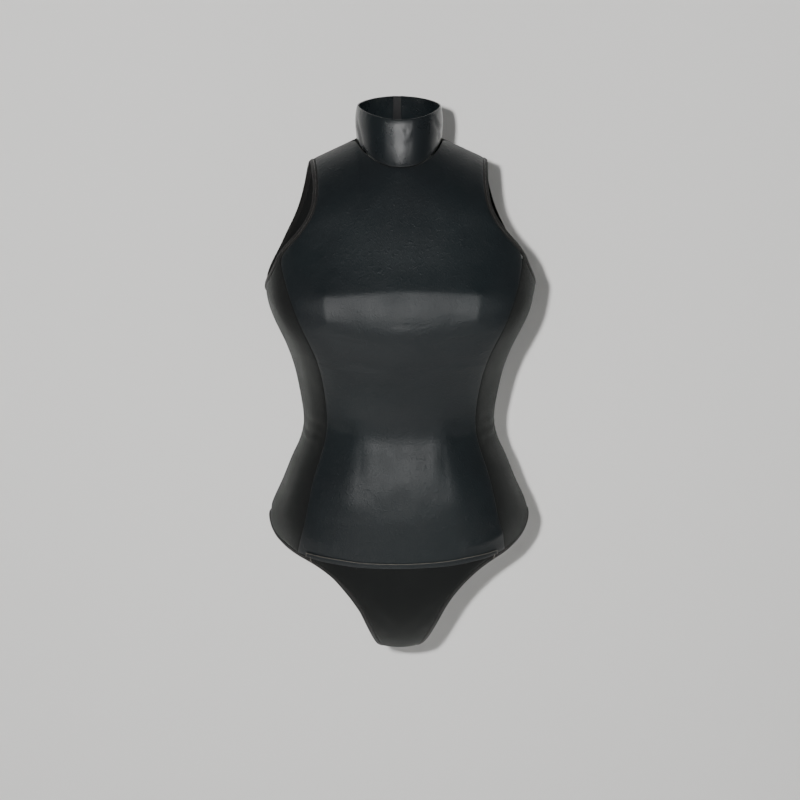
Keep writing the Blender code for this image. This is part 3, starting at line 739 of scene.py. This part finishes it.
def repeated(name, paths, tree, values, material):
    """Runs a node tree along paths, each a line of points with the way across them."""
    verts = []
    edges = []
    across = []
    for line, ways in paths:
        edges.extend((len(verts) + k, len(verts) + k + 1) for k in range(len(line) - 1))
        verts.extend(Vector(place) for place in line)
        across.extend(ways)
    mesh = bpy.data.meshes.new(name)
    mesh.from_pydata(verts, edges, [])
    layer = mesh.attributes.new("across", "FLOAT_VECTOR", "POINT")
    layer.data.foreach_set("vector", np.array(across, dtype=np.float32).ravel())
    thing = linked(name, mesh)
    maker = thing.modifiers.new("maker", "NODES")
    maker.node_group = tree
    for item in tree.interface.items_tree:
        if item.in_out == "INPUT" and item.name in values:
            maker[item.identifier] = values[item.name]
        if item.in_out == "INPUT" and item.name == "Finish":
            maker[item.identifier] = material
    settled(thing)
    for layer in [a.name for a in thing.data.attributes if a.name == "across"]:
        thing.data.attributes.remove(thing.data.attributes[layer])
    return thing


def thread_finish(name, colour, rough):
    """Twisted polyester thread."""
    material, nodes, links, shader = shader_of(name)
    spot = shader_node(nodes, "ShaderNodeTexCoord")
    twist = shader_node(
        nodes, "ShaderNodeTexWave", {"Scale": 900.0, "Distortion": 1.5}, bands_direction="DIAGONAL"
    )
    links.new(spot.outputs["Object"], twist.inputs["Vector"])
    tone = shader_node(nodes, "ShaderNodeMix", data_type="RGBA")
    tone.inputs[6].default_value = (*[c * 0.7 for c in colour], 1.0)
    tone.inputs[7].default_value = (*[c * 1.2 for c in colour], 1.0)
    links.new(twist.outputs["Fac"], tone.inputs["Factor"])
    links.new(tone.outputs[2], shader.inputs["Base Color"])
    ply = shader_node(nodes, "ShaderNodeBump", {"Strength": 0.6, "Distance": 0.00005})
    links.new(twist.outputs["Fac"], ply.inputs["Height"])
    links.new(ply.outputs["Normal"], shader.inputs["Normal"])
    shader.inputs["Roughness"].default_value = rough
    shader.inputs["Sheen Weight"].default_value = 0.3
    return material


def overlocked(name, runs):
    """The seam allowance inside, as a narrow strip with its overlock thread."""
    verts = []
    faces = []
    for line, ways, inwards in runs:
        start = len(verts)
        under = line - ways * (CLOTH + ALLOWANCE_GAP)
        for k in range(len(line)):
            for share in (-0.5, 0.5):
                verts.append(Vector(under[k] + inwards[k] * share * ALLOWANCE))
        for k in range(len(line) - 1):
            a = start + 2 * k
            faces.append((a, a + 1, a + 3, a + 2))
    mesh = bpy.data.meshes.new(name)
    mesh.from_pydata(verts, [], faces)
    mesh.update()
    strip = linked(name, mesh)
    data = bmesh.new()
    data.from_mesh(mesh)
    data.faces.ensure_lookup_table()
    if data.faces[0].normal.dot(Vector(runs[0][1][0])) < 0:
        bmesh.ops.reverse_faces(data, faces=data.faces)
    data.to_mesh(mesh)
    data.free()
    charted(mesh)
    wall = strip.modifiers.new("wall", "SOLIDIFY")
    wall.thickness = ALLOWANCE_CLOTH
    wall.offset = -1.0
    settled(strip)
    shown_as(strip, matte_knit)
    depth = -(CLOTH + ALLOWANCE_GAP + ALLOWANCE_CLOTH + THREAD * 0.6)
    paths = [laid(run, 0.0, depth) for run in runs]
    values = {"Pitch": OVERLOCK_PITCH, "Sway": ALLOWANCE * 0.42, "Thread": THREAD}
    thread = repeated(name + "_thread", paths, zigzag_tree, values, dark_thread)
    shown_as(thread, dark_thread)
    return [strip, thread]


matte_knit, shader = knit_finish(
    "matte_stretch_knit", MATTE, MATTE_SHADE, (0.52, 0.66), 0.0012, 0.0010, 0.00009, 0.00003
)
shader.inputs["Specular IOR Level"].default_value = 0.03
shader.inputs["Sheen Weight"].default_value = 0.12
shader.inputs["Sheen Roughness"].default_value = 0.35
shader.inputs["Sheen Tint"].default_value = (0.86, 0.90, 0.86, 1.0)
dark_thread = thread_finish("dark_thread", THREAD_DARK, 0.6)
zigzag_tree = sewing_tree("zigzag_thread", True)
stitch_tree = sewing_tree("stitch_row", False)

for node, creases in SIDE_CREASES.items():
    side = outer_sheet(node + "_cloth", node, 3)
    ironed(side.data, 80)
    creased(side.data, creases)
    gathered(side.data, 0.00022, 1.7)
    rims[node] = sheet_rims(side.data)
    charted(side.data)
    walled(side, CLOTH)
    shown_as(side, matte_knit, node)
princess_seams = overlocked("princess_seams", met("front_panel", *SIDE_CREASES))


# Brief front: the matte panel below the front panel's hem, cut with a narrow crotch and
# sewn between the side fronts. It is plain and stretched smooth.
BRIEF_CREASES = (
    (-0.25, 9.0, 0, ((-30.0, -0.5300), (-18.0, -0.5560), (-6.0, -0.5840))),
    (-0.25, 9.0, 0, ((31.0, -0.5320), (19.0, -0.5580), (7.0, -0.5860))),
    (0.22, 9.0, 0, ((-22.0, -0.5230), (-12.0, -0.5480), (-4.0, -0.5700))),
)

brief_front = outer_sheet("brief_front_cloth", "brief_front", 3)
ironed(brief_front.data, 100)
creased(brief_front.data, BRIEF_CREASES)
gathered(brief_front.data, 0.00016, 2.6)
rims["brief_front"] = sheet_rims(brief_front.data)
charted(brief_front.data)
walled(brief_front, CLOTH)
shown_as(brief_front, matte_knit, "brief_front")


# Backs: two matte panels from the shoulders to the crotch seam, joined below the zip. The
# small of the back and the fold under the seat are where a worn one creases.
BACK_CREASES = {
    "back_left": (
        (-1.3, 6.0, 0, ((98.0, -0.3170), (125.0, -0.3230), (155.0, -0.3180))),
        (-1.2, 5.5, 0, ((104.0, -0.3370), (132.0, -0.3410), (168.0, -0.3360))),
        (0.9, 6.0, 0, ((100.0, -0.3270), (130.0, -0.3320), (165.0, -0.3260))),
        (-0.9, 6.0, 0, ((112.0, -0.2970), (135.0, -0.3010), (160.0, -0.3030))),
        (-0.9, 7.0, 0, ((96.0, -0.1480), (112.0, -0.1660), (128.0, -0.1780))),
        (0.7, 7.0, 0, ((98.0, -0.1330), (116.0, -0.1500), (134.0, -0.1620))),
        (-1.0, 7.0, 0, ((150.0, -0.0550), (147.0, -0.1100), (150.0, -0.1650))),
        (-1.4, 7.0, 0, ((118.0, -0.5520), (138.0, -0.5640), (160.0, -0.5740))),
        (0.9, 8.0, 0, ((112.0, -0.5330), (134.0, -0.5450), (156.0, -0.5560))),
    ),
    "back_right": (
        (-1.3, 6.0, 0, ((-97.0, -0.3200), (-122.0, -0.3240), (-152.0, -0.3200))),
        (-1.1, 5.5, 0, ((-106.0, -0.3400), (-134.0, -0.3430), (-168.0, -0.3390))),
        (0.9, 6.0, 0, ((-101.0, -0.3300), (-131.0, -0.3340), (-163.0, -0.3290))),
        (-0.9, 6.0, 0, ((-115.0, -0.2990), (-137.0, -0.3030), (-162.0, -0.3020))),
        (-0.9, 7.0, 0, ((-96.0, -0.1500), (-113.0, -0.1690), (-130.0, -0.1800))),
        (0.7, 7.0, 0, ((-98.0, -0.1350), (-117.0, -0.1520), (-133.0, -0.1650))),
        (-1.0, 7.0, 0, ((-152.0, -0.0530), (-148.0, -0.1080), (-151.0, -0.1600))),
        (-1.4, 7.0, 0, ((-116.0, -0.5500), (-137.0, -0.5630), (-158.0, -0.5730))),
        (0.9, 8.0, 0, ((-111.0, -0.5310), (-133.0, -0.5440), (-155.0, -0.5550))),
    ),
}

for node, creases in BACK_CREASES.items():
    back = outer_sheet(node + "_cloth", node, 3)
    ironed(back.data, 100)
    creased(back.data, creases)
    gathered(back.data, 0.00024, 3.1)
    rims[node] = sheet_rims(back.data)
    charted(back.data)
    walled(back, CLOTH)
    shown_as(back, matte_knit, node)
long_seams = overlocked(
    "side_and_shoulder_seams",
    met("back_left", "side_front_left", "front_panel", "brief_front", "back_right")
    + met("back_right", "side_front_right", "front_panel", "brief_front")
    + met("brief_front", "side_front_left", "side_front_right"),
)


# Collar: a stand collar of the wet-look knit, cut double and folded at its top edge, sewn
# round the neck and open at the back for the zip. It folds finely where the neck turns.
COLLAR_CLOTH = 0.0018
COLLAR_ROUND = 0.052
COLLAR_CREASES = (
    (-1.30, 18.0, 0, ((-170.0, 0.0180), (-60.0, 0.0180), (60.0, 0.0180), (170.0, 0.0180))),
    (0.28, 2.0, 0, ((-2.0, 0.0330), (1.0, 0.0290), (4.5, 0.0180))),
    (0.28, 2.0, 0, ((13.0, 0.0330), (10.0, 0.0290), (6.0, 0.0180))),
    (-0.22, 2.4, 0, ((5.5, 0.0370), (5.5, 0.0330), (5.5, 0.0280))),
    (-0.70, 2.6, 1, ((48.0, 0.0360), (58.0, 0.0260), (70.0, 0.0220))),
    (0.60, 2.6, 1, ((52.0, 0.0420), (62.0, 0.0330), (76.0, 0.0300))),
    (-0.60, 2.4, 1, ((56.0, 0.0180), (66.0, 0.0120), (80.0, 0.0130))),
    (0.50, 2.6, 0, ((60.0, 0.0240), (70.0, 0.0180), (84.0, 0.0170))),
    (-0.60, 3.0, 1, ((-72.0, 0.0360), (-62.0, 0.0250), (-54.0, 0.0060))),
    (0.50, 3.0, 0, ((-80.0, 0.0320), (-70.0, 0.0210), (-60.0, 0.0020))),
    (-0.50, 3.2, 0, ((-86.0, 0.0120), (-70.0, 0.0040), (-50.0, -0.0060))),
    (-0.50, 3.2, 0, ((110.0, 0.0260), (130.0, 0.0180), (150.0, 0.0200))),
    (-0.50, 3.2, 0, ((-112.0, 0.0240), (-131.0, 0.0170), (-150.0, 0.0210))),
)

collar_knit, shader = knit_finish(
    "wet_look_collar", GLOSS, GLOSS_SHADE, (0.24, 0.33), 0.0011, 0.0009, 0.00002, 0.00005
)
shader.inputs["Coat Weight"].default_value = 0.25
shader.inputs["Coat Roughness"].default_value = 0.20
shader.inputs["Specular IOR Level"].default_value = 0.3

collar = outer_sheet("collar_cloth", "collar", 3)
ironed(collar.data, 40)
creased(collar.data, COLLAR_CREASES, COLLAR_ROUND)
gathered(collar.data, 0.00014, 0.9)
rims["collar"] = sheet_rims(collar.data)
charted(collar.data)
walled(collar, COLLAR_CLOTH, 0.0007)
shown_as(collar, collar_knit, "collar")
neck_seam = overlocked("neck_seam", met("collar", "front_panel", "back_left", "back_right"))


# Hem of the front panel: its lower edge, turned under once and held by a twin needle. The fold
# stands a little proud of the brief front; its pale line is a painted highlight of pale thread.
HEM_CLOTH = 0.0011
# Pale thread; along the fold's lower edge it is a painted highlight.
PALE_THREAD_AND_HIGHLIGHT = (0.150, 0.136, 0.112)
HEM_STITCH = 0.0026
HEM_THREAD = 0.00020
TACK_PITCH = 0.0005
TACK_LENGTH = 0.0065

hem = outer_sheet("panel_hem_cloth", "panel_hem", 3)
ironed(hem.data, 10)
gathered(hem.data, 0.00010, 0.2)
rims["panel_hem"] = sheet_rims(hem.data)
charted(hem.data)
walled(hem, HEM_CLOTH, 0.0004)
shown_as(hem, glossy_knit, "panel_hem")

pale_thread_and_highlight = thread_finish("pale_thread_and_highlight", PALE_THREAD_AND_HIGHLIGHT, 0.55)
hem_top = met("panel_hem", "front_panel")
hem_rows = repeated(
    "hem_stitches",
    [laid(run, share, HEM_THREAD * 0.4) for run in hem_top for share in (0.0009, 0.0024)],
    stitch_tree,
    {"Pitch": HEM_STITCH, "Thread": HEM_THREAD * 0.8},
    dark_thread,
)
shown_as(hem_rows, dark_thread)
# Painted highlight: a pale zigzag thread along the fold's lower edge stands in for the light that the
# turned edge catches.
hem_fold_highlight = repeated(
    "hem_fold_painted_highlight",
    [laid(run, 0.0004, 0.00005) for run in met("panel_hem", "front_panel", apart=True)],
    zigzag_tree,
    {"Pitch": 0.0009, "Sway": 0.00030, "Thread": 0.00022},
    pale_thread_and_highlight,
)
shown_as(hem_fold_highlight, pale_thread_and_highlight)
tacks = []
for line, ways, inwards in hem_top:
    for here in (2, len(line) - 3):
        up = Vector(line[here]) + Vector(ways[here]) * 0.0003
        points = [up + Vector(inwards[here]) * TACK_LENGTH * s for s in (-0.7, -0.2, 0.3)]
        tacks.append((points, [Vector((1, 0, 0))] * 3))
hem_tacks = repeated(
    "hem_tacks",
    tacks,
    zigzag_tree,
    {"Pitch": TACK_PITCH, "Sway": 0.0006, "Thread": 0.00022},
    pale_thread_and_highlight,
)
shown_as(hem_tacks, pale_thread_and_highlight)


# Armhole and leg edges: a narrow strip turned over elastic, held by a dark zigzag near the
# seam. The elastic draws it in a little, so it waves finely.
EDGE_CLOTH = 0.0016
EDGE_NODES = ("armhole_edge_left", "armhole_edge_right", "leg_edge_left", "leg_edge_right")
PANELS = (
    "front_panel",
    "side_front_left",
    "side_front_right",
    "brief_front",
    "back_left",
    "back_right",
)
EDGE_STITCH = 0.0013
EDGE_SWAY = 0.00055
EDGE_LINE = 0.0017
ELASTIC = (0.011, 0.011, 0.011)
ELASTIC_SHADE = (0.014, 0.0135, 0.013)
THREAD_EDGE = (0.032, 0.030, 0.026)

edge_knit, shader = knit_finish(
    "turned_edge_knit", ELASTIC, ELASTIC_SHADE, (0.44, 0.58), 0.0010, 0.0010, 0.00008, 0.00002
)
shader.inputs["Sheen Weight"].default_value = 0.05
shader.inputs["Specular IOR Level"].default_value = 0.10
edge_thread = thread_finish("edge_thread", THREAD_EDGE, 0.6)
for node in EDGE_NODES:
    edge = outer_sheet(node + "_cloth", node, 3)
    ironed(edge.data, 10)
    gathered(edge.data, 0.00012, 2.0)
    rims[node] = sheet_rims(edge.data)
    charted(edge.data)
    walled(edge, EDGE_CLOTH, 0.0006)
    shown_as(edge, edge_knit, node)
edge_rows = repeated(
    "edge_stitches",
    [laid(run, EDGE_LINE, 0.00025) for node in EDGE_NODES for run in met(node, *PANELS)],
    zigzag_tree,
    {"Pitch": EDGE_STITCH, "Sway": EDGE_SWAY, "Thread": 0.00015},
    edge_thread,
)
shown_as(edge_rows, edge_thread)


# Zip: two woven tapes sewn under the centre back, with a coil of moulded teeth between
# them, from the collar's top down to the small of the back. The tapes run on under the cloth.
TAPE_CLOTH = 0.0005
TAPE_DROP = 0.0015
TAPE_SPREAD = 1.7
TOOTH_PITCH = 0.00075
TEETH_APART = 0.0016
ZIP_STITCH_IN = 0.0022
ZIP_STITCH_PITCH = 0.0025
TOOTH = (0.00115, 0.00030, 0.00048)
TAPE = (0.018, 0.018, 0.019)
COIL = (0.010, 0.010, 0.011)

tape_weave, shader = knit_finish(
    "woven_tape", TAPE, (0.024, 0.024, 0.025), (0.60, 0.72), 0.0005, 0.0005, 0.00008, 0.00001
)
coil_plastic, nodes, links, shader = shader_of("coil_plastic")
shader.inputs["Base Color"].default_value = (*COIL, 1.0)
scuffs = shader_node(nodes, "ShaderNodeTexNoise", {"Scale": 600.0, "Detail": 3.0})
spot = shader_node(nodes, "ShaderNodeTexCoord")
links.new(spot.outputs["Object"], scuffs.inputs["Vector"])
dull = shader_node(nodes, "ShaderNodeMapRange", {"To Min": 0.28, "To Max": 0.48})
links.new(scuffs.outputs["Fac"], dull.inputs["Value"])
links.new(dull.outputs[0], shader.inputs["Roughness"])

tape = outer_sheet("zip_tape", "zip", 2)
rims["zip"] = sheet_rims(tape.data)
tape_places = coordinates(tape.data)
tape_ways = outward(tape.data)
heights = tape_places[:, 2]
order = np.argsort(heights)
coil_heights = np.arange(heights.min() + 0.002, heights.max() - 0.001, 0.002)
coil_depths = np.interp(coil_heights, heights[order], tape_places[order, 1])
lean = np.gradient(coil_depths, coil_heights)
coil_ways = np.stack([np.zeros_like(lean), np.ones_like(lean), -lean], axis=1)
coil_ways /= np.linalg.norm(coil_ways, axis=1)[:, None]
coil_line = np.stack([np.zeros_like(lean), coil_depths, coil_heights], axis=1)
tape_places[:, 0] *= TAPE_SPREAD
moved_to(tape.data, tape_places - tape_ways * TAPE_DROP)
gathered(tape.data, 0.0, 0.0)
charted(tape.data)
walled(tape, TAPE_CLOTH, 0.0001)
shown_as(tape, tape_weave, "zip")


def coil_tree():
    """Geometry nodes that set moulded teeth along a path, left and right in turn."""
    tree = bpy.data.node_groups.new("zip_coil", "GeometryNodeTree")
    tree.interface.new_socket(name="Geometry", in_out="OUTPUT", socket_type="NodeSocketGeometry")
    tree.interface.new_socket(name="Path", in_out="INPUT", socket_type="NodeSocketGeometry")
    tree.interface.new_socket(name="Pitch", in_out="INPUT", socket_type="NodeSocketFloat")
    tree.interface.new_socket(name="Tooth", in_out="INPUT", socket_type="NodeSocketVector")
    tree.interface.new_socket(name="Finish", in_out="INPUT", socket_type="NodeSocketMaterial")
    nodes = tree.nodes
    links = tree.links
    given = nodes.new("NodeGroupInput")
    line = nodes.new("GeometryNodeMeshToCurve")
    even = nodes.new("GeometryNodeResampleCurve")
    even.mode = "LENGTH"
    links.new(given.outputs["Path"], line.inputs[0])
    links.new(line.outputs[0], even.inputs["Curve"])
    links.new(given.outputs["Pitch"], even.inputs["Length"])
    count = nodes.new("GeometryNodeInputIndex")
    parity = shader_node(nodes, "ShaderNodeMath", {1: 2.0}, operation="MODULO")
    side = shader_node(
        nodes, "ShaderNodeMath", {1: TEETH_APART, 2: -TEETH_APART / 2}, operation="MULTIPLY_ADD"
    )
    links.new(count.outputs[0], parity.inputs[0])
    links.new(parity.outputs[0], side.inputs[0])
    shift = nodes.new("ShaderNodeCombineXYZ")
    links.new(side.outputs[0], shift.inputs["X"])
    apart = nodes.new("GeometryNodeSetPosition")
    links.new(even.outputs[0], apart.inputs["Geometry"])
    links.new(shift.outputs[0], apart.inputs["Offset"])
    bead = shader_node(
        nodes, "GeometryNodeMeshUVSphere", {"Segments": 8, "Rings": 5, "Radius": 1.0}
    )
    teeth = nodes.new("GeometryNodeInstanceOnPoints")
    links.new(apart.outputs[0], teeth.inputs["Points"])
    links.new(bead.outputs["Mesh"], teeth.inputs["Instance"])
    links.new(given.outputs["Tooth"], teeth.inputs["Scale"])
    real = nodes.new("GeometryNodeRealizeInstances")
    finish = nodes.new("GeometryNodeSetMaterial")
    links.new(teeth.outputs[0], real.inputs[0])
    links.new(real.outputs[0], finish.inputs["Geometry"])
    links.new(given.outputs["Finish"], finish.inputs["Material"])
    links.new(finish.outputs[0], nodes.new("NodeGroupOutput").inputs[0])
    return tree


coil = repeated(
    "zip_coil",
    [(coil_line - coil_ways * (TAPE_DROP - TOOTH[2] * 0.9), coil_ways)],
    coil_tree(),
    {"Pitch": TOOTH_PITCH, "Tooth": (TOOTH[0], TOOTH[2], TOOTH[1])},
    coil_plastic,
)
shown_as(coil, coil_plastic)
zip_seams = repeated(
    "zip_stitches",
    [
        laid(run, ZIP_STITCH_IN, 0.0001)
        for node in ("back_left", "back_right", "collar")
        for run in met(node, "zip")
    ],
    stitch_tree,
    {"Pitch": ZIP_STITCH_PITCH, "Thread": 0.00019},
    dark_thread,
)
shown_as(zip_seams, dark_thread)


# Slider and pull: die-cast and lacquered black, rubbed bright in small patches. The pull
# hangs on the slider's bar and swings on it.
LACQUER = (0.016, 0.016, 0.018)


def cast(name, node, body):
    """A packed metal piece with its edges rounded as they come from the die."""
    data = bmesh.new()
    data.from_mesh(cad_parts[node].data)
    bmesh.ops.remove_doubles(data, verts=data.verts, dist=1e-6)
    bmesh.ops.dissolve_limit(
        data, angle_limit=math.radians(1), verts=data.verts, edges=data.edges
    )
    mesh = bpy.data.meshes.new(name)
    data.to_mesh(mesh)
    data.free()
    thing = linked(name, mesh)
    soft = thing.modifiers.new("soft", "BEVEL")
    soft.width = 0.00022
    soft.segments = 3
    soft.limit_method = "ANGLE"
    soft.angle_limit = math.radians(35)
    settled(thing)
    thing.data.set_sharp_from_angle(angle=math.radians(40))
    thing.data.materials.clear()
    thing.data.materials.append(black_metal)
    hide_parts(node)
    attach(thing, body)


black_metal, nodes, links, shader = shader_of("lacquered_metal")
spot = shader_node(nodes, "ShaderNodeTexCoord")
rub = shader_node(nodes, "ShaderNodeTexNoise", {"Scale": 420.0, "Detail": 4.0})
links.new(spot.outputs["Object"], rub.inputs["Vector"])
tone = shader_node(nodes, "ShaderNodeMix", data_type="RGBA")
tone.inputs[6].default_value = (*LACQUER, 1.0)
tone.inputs[7].default_value = (0.060, 0.058, 0.055, 1.0)
mark_share = shader_node(nodes, "ShaderNodeMapRange", {"From Min": 0.58, "From Max": 0.72})
links.new(rub.outputs["Fac"], mark_share.inputs["Value"])
links.new(mark_share.outputs[0], tone.inputs["Factor"])
links.new(tone.outputs[2], shader.inputs["Base Color"])
links.new(mark_share.outputs[0], shader.inputs["Metallic"])
shader.inputs["Roughness"].default_value = 0.32
shader.inputs["Coat Weight"].default_value = 0.5
shader.inputs["Coat Roughness"].default_value = 0.12
cast("slider", "zip_slider", "garment")
cast("pull", "zip_pull", "pull")
